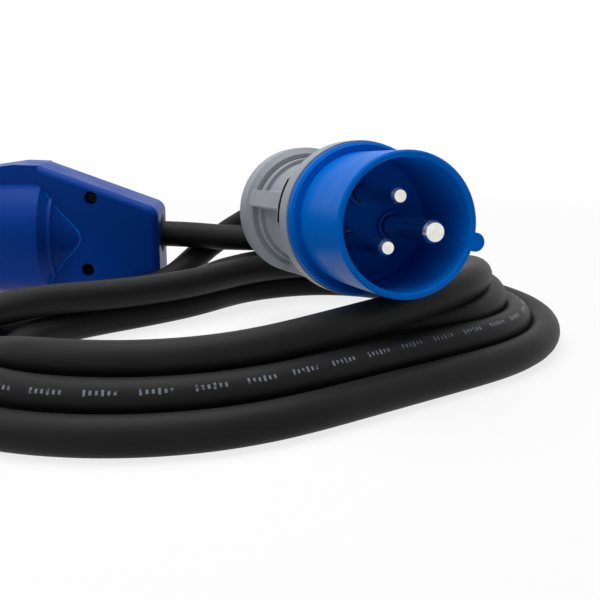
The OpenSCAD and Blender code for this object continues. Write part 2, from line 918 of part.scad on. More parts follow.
module gasket_ring(h)
  difference() {
    cylinder(r = gasket_out_r, h = h, $fn = 128);
    translate([0, 0, -cut])
      cylinder(r = gasket_in_r, h = h + 2 * cut, $fn = 128);
  }

module lid_ear(from, to) {
  tail_plate(from, to)
    translate([lid_start, lid_r - ear_l])
      square([hinge_at + hinge_r - lid_start - ear_back, hinge_up - lid_r + ear_l]);
  tail_plate(from, to)
    translate([hinge_at, hinge_up])
      circle(r = hinge_r - ear_trim);
}

module coupler_lid_gasket() {
  color(rubber)
    at_coupler()
      translate([0, 0, gasket_end - gasket_t])
        gasket_ring(gasket_t);
}

// Cable

module oval(r) {
  translate([-coil_run / 2, 0]) circle(r = r, $fn = 128);
  translate([coil_run / 2, 0]) circle(r = r, $fn = 128);
  translate([-coil_run / 2, -r]) square([coil_run, 2 * r]);
}

module oval_ring(out, in)
  difference() {
    oval(coil_end_r - out);
    oval(coil_end_r - in);
  }

module cable_coil() {
  color(rubber)
    translate(coil_pos)
      rotate([0, 0, coil_turn]) {
        linear_extrude(cable_d) oval_ring(0, coil_band);
        translate([0, 0, cable_d / 2])
          linear_extrude(coil_second_top - cable_d / 2)
            oval_ring(coil_second_out, coil_second_in);
        translate([0, 0, coil_second_top - coil_crest_lap])
          linear_extrude(coil_crest_top - coil_second_top + coil_crest_lap)
            intersection() {
              oval_ring(coil_crest_out, coil_crest_out + coil_crest_w);
              translate([-2 * coil_end_r, -2 * coil_end_r])
                square([4 * coil_end_r, 2 * coil_end_r - coil_crest_back]);
            }
      }
}

module cable_plug_lead() {
  color(rubber)
    sweep(concat([plug_point([0, 0, -plug_cable_end]), plug_point([0, 0, -neck_end])],
      curve(concat([plug_point([0, 0, -nut_end])], plug_lead_pts), lead_steps)),
      cable_r, lead_sides);
}

module cable_coupler_lead() {
  color(rubber)
    sweep(concat([coupler_point([0, 0, coupler_cable_end])],
      curve(concat([coupler_point([0, 0, 0])], coupler_lead_pts), lead_steps)),
      cable_r, lead_sides);
}

plug_shroud();
plug_live_pin();
plug_neutral_pin();
plug_earth_pin();
plug_carrier();
plug_terminal_screws();
plug_housing();
plug_gland_nut();
plug_gland_seal();
plug_clamp_ring();
plug_live_core();
plug_neutral_core();
plug_earth_core();
coupler_near_shell();
coupler_far_shell();
coupler_tail_screws();
coupler_collar();
coupler_insert();
coupler_live_contact();
coupler_neutral_contact();
coupler_earth_contact();
coupler_terminal_screws();
coupler_cord_clamp();
coupler_clamp_screws();
coupler_grommet();
coupler_live_core();
coupler_neutral_core();
coupler_earth_core();
coupler_hinge_pin();
coupler_lid_spring();
coupler_lid();
coupler_lid_gasket();
cable_coil();
cable_plug_lead();
cable_coupler_lead();
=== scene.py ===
"""Looks of an extension cable: an oval coil of black rubber cable, a round plug and a coupler."""
import json
import logging
import math
from dataclasses import dataclass, field
from enum import Enum
from typing import Any, Callable, Iterable, Mapping, Sequence

import bmesh
import bpy
import numpy as np
from mathutils import Matrix, Vector


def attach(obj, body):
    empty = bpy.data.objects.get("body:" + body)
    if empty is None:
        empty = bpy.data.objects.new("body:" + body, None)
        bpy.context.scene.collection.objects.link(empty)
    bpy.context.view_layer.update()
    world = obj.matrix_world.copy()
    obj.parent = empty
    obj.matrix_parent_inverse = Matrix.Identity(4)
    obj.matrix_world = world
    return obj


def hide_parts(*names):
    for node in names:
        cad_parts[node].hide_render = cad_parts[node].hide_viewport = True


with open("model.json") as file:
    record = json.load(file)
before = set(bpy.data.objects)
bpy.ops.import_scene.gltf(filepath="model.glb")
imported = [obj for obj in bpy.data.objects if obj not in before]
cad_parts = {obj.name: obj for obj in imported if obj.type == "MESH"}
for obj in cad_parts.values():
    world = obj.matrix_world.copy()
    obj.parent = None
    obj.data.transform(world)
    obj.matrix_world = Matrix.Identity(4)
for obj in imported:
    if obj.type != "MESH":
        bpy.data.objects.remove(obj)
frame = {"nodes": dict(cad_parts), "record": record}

LOG = logging.getLogger("extension_cable")
MM = 0.001

Colour = tuple[float, float, float]
Point = tuple[float, float, float]


class Body(Enum):
    """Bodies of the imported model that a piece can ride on."""

    CABLE = "cable"
    LID = "lid"


# Shader maths


class Signal:
    """A value socket of a shader, with Python's operators for its maths."""

    def __init__(self, tree: "ShaderTree", socket: bpy.types.NodeSocket) -> None:
        """Keeps the socket and the tree that it belongs to."""
        self.tree = tree
        self.socket = socket

    def math(self, operation: str, *values: Any) -> "Signal":
        """Adds a Math node.

        Args:
            operation: The Math node's operation.
            values: Its inputs, as signals or numbers.

        Returns:
            The node's result.
        """
        node = self.tree.make("ShaderNodeMath", {"operation": operation}, dict(enumerate(values)))
        return Signal(self.tree, node.outputs[0])

    def __add__(self, other: Any) -> "Signal":
        """This value plus another."""
        return self.math("ADD", self, other)

    def __radd__(self, other: Any) -> "Signal":
        """Another value plus this one."""
        return self.math("ADD", other, self)

    def __sub__(self, other: Any) -> "Signal":
        """This value less another."""
        return self.math("SUBTRACT", self, other)

    def __rsub__(self, other: Any) -> "Signal":
        """Another value less this one."""
        return self.math("SUBTRACT", other, self)

    def __mul__(self, other: Any) -> "Signal":
        """This value times another."""
        return self.math("MULTIPLY", self, other)

    def __rmul__(self, other: Any) -> "Signal":
        """Another value times this one."""
        return self.math("MULTIPLY", other, self)

    def __lt__(self, other: Any) -> "Signal":
        """One where this value is below another, and nought elsewhere."""
        return self.math("LESS_THAN", self, other)

    def __gt__(self, other: Any) -> "Signal":
        """One where this value is above another, and nought elsewhere."""
        return self.math("GREATER_THAN", self, other)

    def __abs__(self) -> "Signal":
        """The value without its sign."""
        return self.math("ABSOLUTE", self)

    def repeat(self, length: float) -> "Signal":
        """How far the value is through its present repeat of that length, from 0 to 1."""
        return self.math("FRACT", self * (1 / length))

    def span(self, low: float, high: float, start: float = 0.0, end: float = 1.0) -> "Signal":
        """Maps a range of the value to another, smoothly and without going past its ends.

        Args:
            low: Value that gives start.
            high: Value that gives end.
            start: Result at low and before it.
            end: Result at high and after it.

        Returns:
            The mapped value.
        """
        node = self.tree.make(
            "ShaderNodeMapRange",
            {"interpolation_type": "SMOOTHSTEP"},
            {"Value": self, "From Min": low, "From Max": high, "To Min": start, "To Max": end},
        )
        return Signal(self.tree, node.outputs["Result"])


class NodeMaker:
    """Adds nodes to one tree."""

    def __init__(self, tree: bpy.types.NodeTree) -> None:
        """Keeps the tree."""
        self.tree = tree

    def make(
        self,
        kind: str,
        settings: Mapping[str, Any] | None = None,
        inputs: Mapping[int | str, Any] | None = None,
    ) -> bpy.types.Node:
        """Adds a node, sets it up and joins its inputs.

        Args:
            kind: The node's type.
            settings: Its properties.
            inputs: Values, signals or sockets for its inputs, by name or place.

        Returns:
            The node.
        """
        node = self.tree.nodes.new(kind)
        for name, value in (settings or {}).items():
            setattr(node, name, value)
        for key, value in (inputs or {}).items():
            if isinstance(value, Signal):
                value = value.socket
            if isinstance(value, bpy.types.NodeSocket):
                self.tree.links.new(value, node.inputs[key])
            else:
                node.inputs[key].default_value = value
        return node


class ShaderTree(NodeMaker):
    """The nodes of one material or world."""

    def __init__(self, tree: bpy.types.NodeTree) -> None:
        """Empties the tree."""
        super().__init__(tree)
        tree.nodes.clear()

    def place(self, stretch: Point = (1.0, 1.0, 1.0)) -> bpy.types.NodeSocket:
        """Object coordinates in metres, stretched on each axis."""
        coordinates = self.make("ShaderNodeTexCoord")
        mapping = self.make(
            "ShaderNodeMapping", None, {"Vector": coordinates.outputs["Object"], "Scale": stretch}
        )
        return mapping.outputs["Vector"]

    def noise(
        self, size: float, detail: float = 3.0, where: bpy.types.NodeSocket | None = None
    ) -> Signal:
        """Soft noise from 0 to 1.

        Args:
            size: Width of its lumps in metres.
            detail: Number of finer layers.
            where: Coordinates, or none for the object's own.

        Returns:
            The noise.
        """
        node = self.make(
            "ShaderNodeTexNoise",
            None,
            {"Vector": where or self.place(), "Scale": 1 / size, "Detail": detail},
        )
        return Signal(self, node.outputs[0])

    def blend(self, factor: Signal | float, first: Any, second: Any) -> bpy.types.NodeSocket:
        """A colour between two others.

        Args:
            factor: Share of the second colour.
            first: Colour or socket at 0.
            second: Colour or socket at 1.

        Returns:
            The colour's socket.
        """
        ends = [(*c, 1.0) if isinstance(c, tuple) else c for c in (first, second)]
        node = self.make(
            "ShaderNodeMix", {"data_type": "RGBA"}, {0: factor, 6: ends[0], 7: ends[1]}
        )
        return node.outputs[2]

    def bump(self, height: Signal, depth: float, strength: float) -> bpy.types.NodeSocket:
        """A normal that follows a height.

        Args:
            height: Height from 0 to 1.
            depth: Depth of the relief in metres.
            strength: Share of the relief that shows.

        Returns:
            The normal's socket.
        """
        node = self.make(
            "ShaderNodeBump", None, {"Height": height, "Distance": depth, "Strength": strength}
        )
        return node.outputs["Normal"]

    def surface(self, **inputs: Any) -> None:
        """Ends a material in a Principled surface with those inputs, underscores for spaces."""
        values = {
            name.replace("_", " "): (*value, 1.0) if isinstance(value, tuple) else value
            for name, value in inputs.items()
        }
        shader = self.make("ShaderNodeBsdfPrincipled", None, values)
        self.make("ShaderNodeOutputMaterial", None, {"Surface": shader.outputs[0]})


# Finishes


@dataclass(frozen=True)
class Finish:
    """What a surface is made of. Each kind paints its own nodes."""

    name: str
    slot: str
    base: Colour

    def material(self) -> bpy.types.Material:
        """The finish's material, made the first time that it is asked for."""
        known = bpy.data.materials.get(self.name)
        if known:
            return known
        made = bpy.data.materials.new(self.name)
        made.use_nodes = True
        self.paint(ShaderTree(made.node_tree))
        return made

    def paint(self, tree: ShaderTree) -> None:
        """Adds the finish's nodes to a material."""
        raise NotImplementedError


@dataclass(frozen=True)
class MouldedPlastic(Finish):
    """Injection moulded plastic with faint flow marks, handling haze and a fine skin."""

    flow: Colour = (0.0, 0.0, 0.0)
    roughness: float = 0.25
    haze: float = 0.12
    skin_size: float = 0.0006
    skin_depth: float = 0.00002
    shine: float = 0.1
    flow_size: float = 0.022
    smear_size: float = 0.006
    scratch_size: float = 0.0009

    def paint(self, tree: ShaderTree) -> None:
        """Adds the plastic's nodes."""
        flow = tree.noise(self.flow_size, 4.0, tree.place((1.0, 0.45, 1.0)))
        smear = tree.noise(self.smear_size, 5.0, tree.place((0.5, 1.0, 0.5)))
        scratch = tree.noise(self.scratch_size, 2.0, tree.place((0.08, 1.0, 1.0)))
        worn = scratch.span(0.66, 0.74) * smear.span(0.45, 0.7)
        colour = tree.blend(flow.span(0.3, 0.75), self.base, self.flow)
        tree.surface(
            Base_Color=colour,
            Roughness=self.roughness + self.haze * smear.span(0.35, 0.75) + 0.15 * worn,
            Specular_IOR_Level=self.shine,
            Normal=tree.bump(tree.noise(self.skin_size, 2.0), self.skin_depth, 0.6),
        )


@dataclass(frozen=True)
class PlatedMetal(Finish):
    """Bright plated metal with fine turning marks."""

    dull: Colour = (0.5, 0.5, 0.5)
    roughness: float = 0.22
    cloud_size: float = 0.003
    turning_size: float = 0.0003

    def paint(self, tree: ShaderTree) -> None:
        """Adds the metal's nodes."""
        cloud = tree.noise(self.cloud_size, 4.0)
        turned = tree.noise(self.turning_size, 2.0, tree.place((0.2, 1.0, 1.0)))
        tree.surface(
            Base_Color=tree.blend(cloud.span(0.35, 0.8), self.base, self.dull),
            Metallic=1.0,
            Roughness=self.roughness + 0.12 * cloud + 0.06 * turned,
            Normal=tree.bump(turned, 0.00001, 0.4),
        )


@dataclass(frozen=True)
class Rubber(Finish):
    """Matt rubber with a dusty bloom and a fine grain."""

    bloom: Colour = (0.05, 0.05, 0.05)
    roughness: float = 0.55
    dust_size: float = 0.008
    grain_size: float = 0.0005
    shine: float = 0.1

    def paint(self, tree: ShaderTree) -> None:
        """Adds the rubber's nodes."""
        dust = tree.noise(self.dust_size, 5.0)
        grain = tree.noise(self.grain_size, 2.0)
        tree.surface(
            Base_Color=tree.blend(dust.span(0.4, 0.8), self.base, self.bloom),
            Roughness=self.roughness + 0.12 * dust,
            Specular_IOR_Level=self.shine,
            Normal=tree.bump(grain, 0.00003, 0.5),
        )


@dataclass(frozen=True)
class CableSheath(Finish):
    """Extruded rubber sheath with die lines, a bloom and one printed row of ticks in groups.

    Lengths are in metres. The row's side and twist are in radians, at nought and a metre.
    """

    bloom: Colour = (0.05, 0.05, 0.05)
    ink: Colour = (0.2, 0.2, 0.2)
    roughness: float = 0.46
    tick_pitch: float = 1.5 * MM
    tick_height: float = 0.85 * MM
    tick_share: float = 0.45
    long_every: float = 4.5 * MM
    short_share: float = 0.7
    group_length: float = 13.5 * MM
    group_share: float = 0.66
    radius: float = 5.5 * MM
    print_side: float = 4.83
    print_twist: float = -2.7
    print_from: float = 1.93
    print_to: float = 2.36
    print_facing: float = 0.5
    shine: float = 0.1
    bloom_size: float = 0.03
    wear_size: float = 0.0016
    haze_size: float = 0.012
    grain_size: float = 0.0007
    line_scale: float = 14.0

    def paint(self, tree: ShaderTree) -> None:
        """Adds the sheath's nodes."""
        along = Signal(tree, tree.make(
            "ShaderNodeAttribute", {"attribute_name": "along"}).outputs["Fac"])
        around = tree.make("ShaderNodeAttribute", {"attribute_name": "around"}).outputs["Vector"]
        bloom = tree.noise(self.bloom_size, 4.0).span(0.35, 0.8)
        lines = self._die_lines(tree, around)
        ink = self._ticks(tree, along, around) * tree.noise(self.wear_size, 3.0).span(0.3, 0.5)
        rubber = tree.blend(bloom, self.base, self.bloom)
        tree.surface(
            Base_Color=tree.blend(ink, rubber, self.ink),
            Roughness=self.roughness + 0.1 * tree.noise(self.haze_size, 4.0) - 0.05 * lines,
            Specular_IOR_Level=self.shine,
            Normal=tree.bump(tree.noise(self.grain_size, 3.0) + lines * 0.6, 0.00003, 0.5),
        )

    def _die_lines(self, tree: ShaderTree, around: bpy.types.NodeSocket) -> Signal:
        """Faint lines that the extruder's die leaves along the cable."""
        fine = tree.make(
            "ShaderNodeTexNoise", None,
            {"Vector": around, "Scale": self.line_scale, "Detail": 2.0})
        return Signal(tree, fine.outputs[0]).span(0.4, 0.7)

    def _ticks(self, tree: ShaderTree, along: Signal, around: bpy.types.NodeSocket) -> Signal:
        """The row of printed ticks, which winds slowly round the cable.

        Args:
            tree: The material's nodes.
            along: Distance along the cable in metres.
            around: Direction round the cable, as a unit vector.

        Returns:
            One on the ink and nought beside it.
        """
        split = tree.make("ShaderNodeSeparateXYZ", None, {"Vector": around})
        x, y = (Signal(tree, split.outputs[axis]) for axis in ("X", "Y"))
        turn = along * self.print_twist + self.print_side
        cos, sin = turn.math("COSINE", turn), turn.math("SINE", turn)
        facing = (x * cos + y * sin) > self.print_facing
        across = abs((y * cos - x * sin) * self.radius)
        long_tick = along.repeat(self.long_every) < self.tick_pitch / self.long_every
        short = self.tick_height * self.short_share
        height = short + (self.tick_height - short) * long_tick
        tick = along.repeat(self.tick_pitch) < self.tick_share
        group = along.repeat(self.group_length) < self.group_share
        row = (along > self.print_from) * (along < self.print_to)
        return facing * (across < height) * tick * group * row


@dataclass(frozen=True)
class CoreSheath(Finish):
    """Satin insulation of one core, with a stripe where the core has one."""

    stripe: Colour | None = None

    def paint(self, tree: ShaderTree) -> None:
        """Adds the insulation's nodes."""
        colour: Any = self.base
        if self.stripe:
            colour = tree.blend(tree.noise(0.004, 0.0).span(0.48, 0.52), self.base, self.stripe)
        tree.surface(
            Base_Color=colour,
            Roughness=0.42 + 0.1 * tree.noise(0.002, 3.0),
            Normal=tree.bump(tree.noise(0.0005, 2.0), 0.00002, 0.4),
        )


BLUE = MouldedPlastic(
    "moulded_blue", "blue_plastic", (0.0, 0.138, 0.6), (0.0, 0.124, 0.555), 0.3, 0.1, shine=0.02)
# A darker copy of the plug's blue for the coupler, with the coupler's shade painted into its
# colour.
SHADED_BLUE = MouldedPlastic(
    "moulded_shaded_blue", "blue_plastic", (0.0, 0.043, 0.29), (0.0, 0.038, 0.265), 0.34, 0.1,
    shine=0.07)
GREY = MouldedPlastic(
    "moulded_grey", "grey_plastic", (0.31, 0.33, 0.365), (0.288, 0.308, 0.342), 0.45)
NAVY = MouldedPlastic(
    "moulded_navy", "dark_plastic", (0.004, 0.02, 0.1), (0.003, 0.016, 0.085), 0.4)
# Near-black plastic for the sheet in the plug's latch slits: painted shade.
SHADE_SHEET = MouldedPlastic(
    "moulded_shade_sheet", "dark_plastic", (0.006, 0.006, 0.008), (0.005, 0.005, 0.007), 0.6)
PIN = PlatedMetal("plated_brass", "nickel_brass", (0.83, 0.8, 0.77), (0.7, 0.67, 0.63), 0.12)
STEEL = PlatedMetal("plated_steel", "steel", (0.6, 0.6, 0.61), (0.42, 0.42, 0.43), 0.28)
# Steel darkened to near black, used on the coupler's tail screws.
NEAR_BLACK_STEEL = PlatedMetal("near_black_steel", "steel", (0.03, 0.03, 0.032), (0.015, 0.015, 0.016), 0.4)
SEAL = Rubber("moulded_seal", "seal_rubber", (0.012, 0.012, 0.012), (0.03, 0.03, 0.03))
SHEATH = CableSheath(
    "cable_sheath", "cable_rubber", (0.0112, 0.0108, 0.0107), (0.016, 0.0154, 0.0151),
    (0.19, 0.205, 0.25))
BROWN_CORE = CoreSheath("brown_sheath", "brown_core", (0.1, 0.035, 0.012))
BLUE_CORE = CoreSheath("blue_sheath", "blue_core", (0.01, 0.06, 0.45))
GREEN_CORE = CoreSheath("green_sheath", "green_core", (0.06, 0.3, 0.02), (0.75, 0.6, 0.02))
FINISHES: dict[str, Finish] = {
    finish.slot: finish
    for finish in (BLUE, GREY, NAVY, PIN, STEEL, SEAL, SHEATH, BROWN_CORE, BLUE_CORE, GREEN_CORE)
}

# Solids whose finish isn't their slot's usual one
ODD_FINISHES: dict[str, Finish] = {"coupler_tail_screws": NEAR_BLACK_STEEL}


# Meshes


class Workshop:
    """Makes plain mesh objects and sets them on their bodies."""

    WELD = 0.002 * MM
    FLAT_DEG = 0.6
    CHAMFER_DEG = (30.0, 60.0)
    ROUND_SEGMENTS = 4
    EDGE_SEGMENTS = 2
    TURNED_WELD = 1e-4
    TURNED_SHARP_DEG = 24.0

    @staticmethod
    def piece(
        name: str, mesh: bpy.types.Mesh, finish: Finish, body: Body, nodes: Iterable[str]
    ) -> bpy.types.Object:
        """Turns a finished mesh into a piece of the object.

        Args:
            name: The piece's name.
            mesh: Its mesh, in place.
            finish: Its finish.
            body: The body that it rides on.
            nodes: The solids that it stands for.

        Returns:
            The piece.
        """
        made = bpy.data.objects.new(name, mesh)
        bpy.context.scene.collection.objects.link(made)
        mesh.materials.clear()
        mesh.materials.append(finish.material())
        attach(made, body.value)
        if nodes:
            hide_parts(*nodes)
        LOG.info("%s: %d faces", name, len(mesh.polygons))
        return made

    @staticmethod
    def smooth(mesh: bpy.types.Mesh, sharp_deg: float = 32.0) -> None:
        """Shades a mesh smooth, with an edge where its faces turn by more than an angle."""
        mesh.shade_smooth()
        mesh.set_sharp_from_angle(angle=math.radians(sharp_deg))

    @staticmethod
    def refit(
        node: str, edge: float, sharp_deg: float = 32.0, rounding: float = 0.0,
        where: Callable[[Vector], bool] | None = None,
    ) -> bpy.types.Mesh:
        """A copy of a solid's mesh with its edges broken and its curves smooth.

        Args:
            node: The solid's name.
            edge: Width of the broken edges in metres.
            sharp_deg: Angle from which an edge is broken.
            rounding: Width in metres by which both edges of a chamfer are rounded first.
            where: Says which places have such a chamfer.

        Returns:
            The new mesh.
        """
        work = bmesh.new()
        work.from_mesh(frame["nodes"][node].data)
        bmesh.ops.remove_doubles(work, verts=work.verts, dist=Workshop.WELD)
        bmesh.ops.dissolve_limit(
            work, angle_limit=math.radians(Workshop.FLAT_DEG), verts=work.verts, edges=work.edges
        )
        if where:
            low, high = (math.radians(a) for a in Workshop.CHAMFER_DEG)
            chamfers = [e for e in work.edges
                        if e.is_convex and low < e.calc_face_angle(0.0) < high
                        and where((e.verts[0].co + e.verts[1].co) / 2)]
            bmesh.ops.bevel(
                work, geom=chamfers, offset=rounding, offset_type="OFFSET",
                segments=Workshop.ROUND_SEGMENTS, profile=0.5, affect="EDGES",
                clamp_overlap=False, loop_slide=True,
            )
        sharp = [e for e in work.edges
                 if len(e.link_faces) == 2 and e.calc_face_angle(0.0) > math.radians(sharp_deg)]
        bmesh.ops.bevel(
            work, geom=sharp, offset=edge, offset_type="OFFSET",
            segments=Workshop.EDGE_SEGMENTS, profile=0.5, affect="EDGES",
            clamp_overlap=True, loop_slide=True,
        )
        mesh = bpy.data.meshes.new(node)
        work.to_mesh(mesh)
        work.free()
        Workshop.smooth(mesh, sharp_deg)
        return Workshop.flatten(mesh)

    @staticmethod
    def lathe(
        name: str, profile: Sequence[tuple[float, float]], place: Matrix, sides: int = 48
    ) -> bpy.types.Mesh:
        """A turned mesh.

        Args:
            name: The mesh's name.
            profile: Radius and height along the outline, from axis to axis, in millimetres.
            place: Matrix from the turned piece's axes to the row frame, in millimetres.
            sides: Number of sides.

        Returns:
            The mesh.
        """
        work = bmesh.new()
        line = [work.verts.new((r, 0.0, z)) for r, z in profile]
        edges = [work.edges.new(pair) for pair in zip(line, line[1:])]
        bmesh.ops.spin(
            work, geom=line + edges, cent=(0, 0, 0), axis=(0, 0, 1), angle=2 * math.pi,
            steps=sides, use_merge=True,
        )
        bmesh.ops.remove_doubles(work, verts=work.verts, dist=Workshop.TURNED_WELD)
        bmesh.ops.recalc_face_normals(work, faces=work.faces)
        work.transform(Matrix.Scale(MM, 4) @ place)
        mesh = bpy.data.meshes.new(name)
        work.to_mesh(mesh)
        work.free()
        Workshop.smooth(mesh, Workshop.TURNED_SHARP_DEG)
        return mesh

    @staticmethod
    def flatten(mesh: bpy.types.Mesh) -> bpy.types.Mesh:
        """A copy of a mesh whose large faces stay flat and whose broken edges take the shading."""
        holder = bpy.data.objects.new("flattened", mesh)
        bpy.context.scene.collection.objects.link(holder)
        weigh = holder.modifiers.new("weigh", "WEIGHTED_NORMAL")
        weigh.mode, weigh.weight, weigh.keep_sharp = "FACE_AREA", 100, True
        ready = holder.evaluated_get(bpy.context.evaluated_depsgraph_get())
        flat = bpy.data.meshes.new_from_object(ready)
        bpy.data.objects.remove(holder)
        return flat


class GeometryTree(NodeMaker):
    """One Geometry Nodes tree with named inputs, which ends as a plain mesh."""

    def __init__(self, name: str, inputs: Mapping[str, str]) -> None:
        """Starts the tree.

        Args:
            name: The tree's name.
            inputs: Its sizes, as names and socket types.
        """
        super().__init__(bpy.data.node_groups.new(name, "GeometryNodeTree"))
        face = self.tree.interface
        face.new_socket("Geometry", in_out="INPUT", socket_type="NodeSocketGeometry")
        self.idents = {
            label: face.new_socket(label, in_out="INPUT", socket_type=kind).identifier
            for label, kind in inputs.items()
        }
        face.new_socket("Geometry", in_out="OUTPUT", socket_type="NodeSocketGeometry")
        source = self.make("NodeGroupInput")
        self.geometry = source.outputs["Geometry"]
        self.inputs = {label: source.outputs[label] for label in inputs}

    def finish(
        self,
        holder: bpy.types.Object,
        result: bpy.types.NodeSocket,
        finish: Finish,
        values: Mapping[str, Any],
    ) -> bpy.types.Mesh:
        """Ends the tree, runs it on an object and keeps the plain mesh.

        Args:
            holder: The object that the tree works on, which is removed.
            result: The geometry to keep.
            finish: Its finish.
            values: The tree's sizes by name.

        Returns:
            The mesh.
        """
        real = self.make("GeometryNodeRealizeInstances", None, {0: result})
        smooth = self.make("GeometryNodeSetShadeSmooth", None, {0: real.outputs[0]})
        painted = self.make(
            "GeometryNodeSetMaterial", None, {0: smooth.outputs[0], "Material": finish.material()})
        self.make("NodeGroupOutput", None, {0: painted.outputs[0]})
        bpy.context.scene.collection.objects.link(holder)
        modifier = holder.modifiers.new(self.tree.name, "NODES")
        modifier.node_group = self.tree
        for label, value in values.items():
            modifier[self.idents[label]] = value
        ready = holder.evaluated_get(bpy.context.evaluated_depsgraph_get())
        mesh = bpy.data.meshes.new_from_object(ready)
        holder.modifiers.remove(modifier)
        bpy.data.objects.remove(holder)
        bpy.data.node_groups.remove(self.tree)
        return mesh


# Sub-assemblies


@dataclass(frozen=True)
class Placing:
    """Where a sub-assembly's own axes stand in the row frame, in millimetres and degrees."""

    origin: Point
    yaw: float = 0.0
    tilt: float = 0.0
    roll: float = 0.0
    tilt_axis: str = "X"

    def matrix(self) -> Matrix:
        """The matrix from the sub-assembly's axes to the row frame, both in millimetres."""
        return (
            Matrix.Translation(self.origin)
            @ Matrix.Rotation(math.radians(self.yaw), 4, "Z")
            @ Matrix.Rotation(math.radians(self.tilt), 4, self.tilt_axis)
            @ Matrix.Rotation(math.radians(self.roll), 4, "Z")
        )

    def point(self, x: float, y: float, z: float) -> np.ndarray:
        """A point of the sub-assembly's axes in the row frame, in millimetres."""
        return np.array(self.matrix() @ Vector((x, y, z)))


PLUG_PLACE = Placing((19.0, -3.0, 52.0), yaw=16.6, tilt=85.0, roll=-15.3)
COUPLER_PLACE = Placing((-72.0, 147.0, 26.4), tilt=-90.0, tilt_axis="Y")


@dataclass
class Cable:
    """The cable: a lead from the plug, an oval coil of five turns and a lead to the coupler.

    Sizes are in millimetres. A turn is counted from the coil's left end, by its front.
    """

    diameter: float = 11.0
    sides: int = 24
    # The coil's oval: radius of its ends, length of its straight runs, middle, turn on the floor
    end_radius: float = 86.0
    run: float = 73.0
    centre: tuple[float, float] = (-32.7, 53.7)
    turned_deg: float = 38.9
    # Radius by which places in a turn are counted
    middle_radius: float = 65.0
    step: float = 4.0
    first_turn: float = -0.22
    last_turn: float = 4.655
    turn_step: float = 0.01
    # The cable's ends: the gland nut's end behind the plug's rim, and lengths that go inside
    nut_end: float = 123.6
    plug_inside: float = 30.0
    coupler_inside: float = 30.0
    straight: tuple[float, ...] = (7.0, 16.0)
    # Stations along the coil: turn, distance in from the outside, height of the middle line
    stations: tuple[Point, ...] = (
        (-0.25, 0, 5.5), (0.34, 0, 5.5), (0.5, 0.5, 5.5), (0.64, 3.5, 5.5), (0.78, 10.5, 5.5),
        (0.88, 10.8, 5.5), (1.06, 20.5, 5.5), (1.34, 20.5, 5.5), (1.5, 21, 5.5), (1.6, 14.5, 5.5),
        (1.66, 19, 5.5), (1.74, 30, 5.5), (1.78, 31, 5.5), (1.87, 32, 5.5), (1.93, 35, 5.5),
        (1.98, 38, 5.5), (2.06, 33, 6), (2.12, 30, 9), (2.2, 26.5, 13.5), (2.27, 22.5, 15),
        (2.34, 18, 15.2), (2.5, 15.8, 15), (2.6, 20.5, 15.2), (2.66, 27.5, 15.5),
        (2.75, 36.5, 14.5), (2.8, 36.5, 14.8), (2.87, 31, 16.5), (2.93, 22, 16.5),
        (2.98, 14.5, 16), (3.04, 9, 12.8), (3.06, 9, 12.3), (3.3, 9, 12.3), (3.5, 10.8, 8.8),
        (3.58, 8.5, 15.2), (3.63, 9, 15.4),
        (3.68, 13, 13), (3.73, 18, 8), (3.78, 20.5, 5.5), (3.88, 21.5, 5.5), (3.95, 26, 5.5),
        (4.0, 25, 13), (4.05, 18, 19.5), (4.16, 17, 20), (4.29, 14, 23), (4.4, 21, 19),
        (4.5, 28.5, 15.5), (4.57, 23, 21), (4.64, 14, 24), (4.66, 14, 24),
    )
    # The leads' points, as in the part's source
    plug_lead: tuple[Point, ...] = (
        (-27, 145, 36.2), (-37, 156.5, 30), (-50, 158.5, 21), (-59, 150, 14), (-63, 138, 9.5),
        (-67, 128, 6.8), (-76, 120, 5.8),
    )
    coupler_lead: tuple[Point, ...] = (
        (-22, 142.5, 23.4), (-36, 144.2, 24), (-48, 146, 25), (-60, 147, 26),
    )
    # How far the plug stands out from its axis, at distances behind its rim
    plug_outline: tuple[tuple[float, float], ...] = (
        (0, 21.5), (36, 21.5), (36.1, 24.7), (40, 25.2), (48, 25.2), (50.5, 25), (51, 23.7),
        (97, 23.7), (98, 24), (115, 24), (124, 11), (126, 5),
    )
    plug_margin: float = 2.0
    # How the strands settle: rounds, smoothing passes before and in each round, length held still
    # at both ends, and rounds between two searches for pairs
    rounds: int = 240
    first_passes: int = 14
    round_passes: int = 2
    held_end: float = 60.0
    search_every: int = 12
    # In diameters: reach of a search, stretch of its own strand that a place leaves out, spacing
    search_reach: float = 1.6
    own_stretch: float = 3.0
    spacing: float = 1.004
    # Shares of a push, of the move off the plug, and of the shift that a round keeps
    push_share: float = 0.25
    plug_share: float = 0.5
    kept_share: float = 0.998
    line: np.ndarray = field(init=False)

    def build(self) -> bpy.types.Object:
        """Returns:
            The cable's piece.
        """
        self.line = self.lay()
        mesh = self.sweep()
        piece = Workshop.piece(
            "rubber_cable", mesh, SHEATH, Body.CABLE,
            ("cable_coil", "cable_plug_lead", "cable_coupler_lead"),
        )
        length = float(np.linalg.norm(np.diff(self.line, axis=0), axis=1).sum())
        LOG.info("cable length %.3f m, tightest bend %.1f mm", length * MM, self.tightest_bend())
        [tuple(p) for p in self.line * MM]
        return piece

    def lay(self) -> np.ndarray:
        """The cable's middle line from inside the plug to inside the coupler, in millimetres."""
        axis = PLUG_PLACE.point(0, 0, -1) - PLUG_PLACE.point(0, 0, 0)
        gland = PLUG_PLACE.point(0, 0, -self.nut_end)
        inside = (-self.plug_inside, -self.plug_inside / 2, 0)
        start = [gland + axis * d for d in (*inside, *self.straight)]
        mouth = np.array(COUPLER_PLACE.origin)
        inside = (0, self.coupler_inside / 2, self.coupler_inside)
        end = [mouth - np.array([d, 0, 0]) for d in inside]
        turns = np.arange(self.first_turn, self.last_turn, self.turn_step)
        coil = np.array([self.coil_point(t) for t in turns])
        path = self.even(np.vstack([
            self.through([*start, *self.plug_lead])[:-1],
            coil,
            self.through([*self.coupler_lead, *end])[1:],
        ]))
        self.soften(path, self.first_passes)
        return self.settle(self.even(path), gland, axis)

